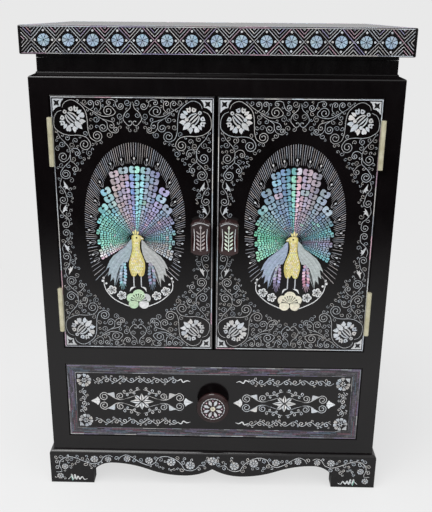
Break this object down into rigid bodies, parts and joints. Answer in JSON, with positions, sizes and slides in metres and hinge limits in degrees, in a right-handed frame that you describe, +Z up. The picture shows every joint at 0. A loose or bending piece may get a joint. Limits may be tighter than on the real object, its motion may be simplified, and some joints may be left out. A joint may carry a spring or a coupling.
{
  "type": "lacquered dressing chest",
  "caption": "Black lacquered table-top dressing chest with mother-of-pearl inlay, hinged mirror lid over a tray, double doors, a drawer and a scalloped plinth.",
  "frame": {"origin": "middle of the footprint of the whole chest, on the floor", "axes": "+X to the right seen from the front, +Y from front to back, +Z up"},
  "size_m": [0.2978, 0.2118, 0.403],
  "materials": {
    "black_lacquer": "polished black lacquer over wood",
    "maroon_lacquer": "polished maroon lacquer over turned wood",
    "stained_wood": "dark stained wood",
    "brass": "pale satin brass",
    "steel": "plated steel",
    "velvet": "red velvet",
    "mirror_glass": "silvered glass",
    "catch_plastic": "black plastic with magnets inside"
  },
  "bodies": {
    "cabinet": {"apron_back": "black_lacquer", "apron_front": "black_lacquer", "apron_left": "black_lacquer", "apron_right": "black_lacquer", "back_panel": "black_lacquer", "bottom_panel": "black_lacquer", "bottom_rail": "black_lacquer", "corner_blocks": "stained_wood", "divider_panel": "black_lacquer", "drawer_guide_left": "stained_wood", "drawer_guide_right": "stained_wood", "hinge_frame_lower_left": "brass", "hinge_frame_lower_right": "brass", "hinge_frame_upper_left": "brass", "hinge_frame_upper_right": "brass", "hinge_neck_left": "brass", "hinge_neck_right": "brass", "magnet_catch": "catch_plastic", "middle_rail": "black_lacquer", "neck_back": "black_lacquer", "neck_front": "black_lacquer", "neck_left": "black_lacquer", "neck_right": "black_lacquer", "shelf": "black_lacquer", "shelf_cleat_left": "black_lacquer", "shelf_cleat_right": "black_lacquer", "side_panel_left": "black_lacquer", "side_panel_right": "black_lacquer", "stile_left": "black_lacquer", "stile_right": "black_lacquer", "top_panel": "black_lacquer", "top_rail": "black_lacquer", "tray_lining": "velvet"},
    "left_door": {"door_panel_left": "black_lacquer", "hinge_door_lower_left": "brass", "hinge_door_upper_left": "brass", "pull_left": "maroon_lacquer", "strike_left": "steel"},
    "right_door": {"door_panel_right": "black_lacquer", "hinge_door_lower_right": "brass", "hinge_door_upper_right": "brass", "pull_right": "maroon_lacquer", "strike_right": "steel"},
    "drawer": {"drawer_back": "stained_wood", "drawer_bottom": "stained_wood", "drawer_front": "black_lacquer", "drawer_knob": "maroon_lacquer", "drawer_lining": "velvet", "drawer_side_left": "stained_wood", "drawer_side_right": "stained_wood"},
    "lid": {"hinge_lid_left": "brass", "hinge_lid_right": "brass", "lid_board": "black_lacquer", "lid_rim_back": "black_lacquer", "lid_rim_front": "black_lacquer", "lid_rim_left": "black_lacquer", "lid_rim_right": "black_lacquer", "mirror": "mirror_glass"}
  },
  "joints": [
    {"name": "left_door_swing", "type": "hinge", "parent": "cabinet", "child": "left_door", "pos_m": [-0.1298, -0.0968, 0.24365], "axis": [0, 0, -1], "range_deg": [0, 170]},
    {"name": "right_door_swing", "type": "hinge", "parent": "cabinet", "child": "right_door", "pos_m": [0.1298, -0.0968, 0.24365], "axis": [0, 0, 1], "range_deg": [0, 170]},
    {"name": "drawer_slide", "type": "slide", "parent": "cabinet", "child": "drawer", "axis": [0, -1, 0], "range_m": [0, 0.15]},
    {"name": "lid_swing", "type": "hinge", "parent": "cabinet", "child": "lid", "pos_m": [0, 0.1039, 0.37905], "axis": [-1, 0, 0], "range_deg": [0, 100]}
  ]
}
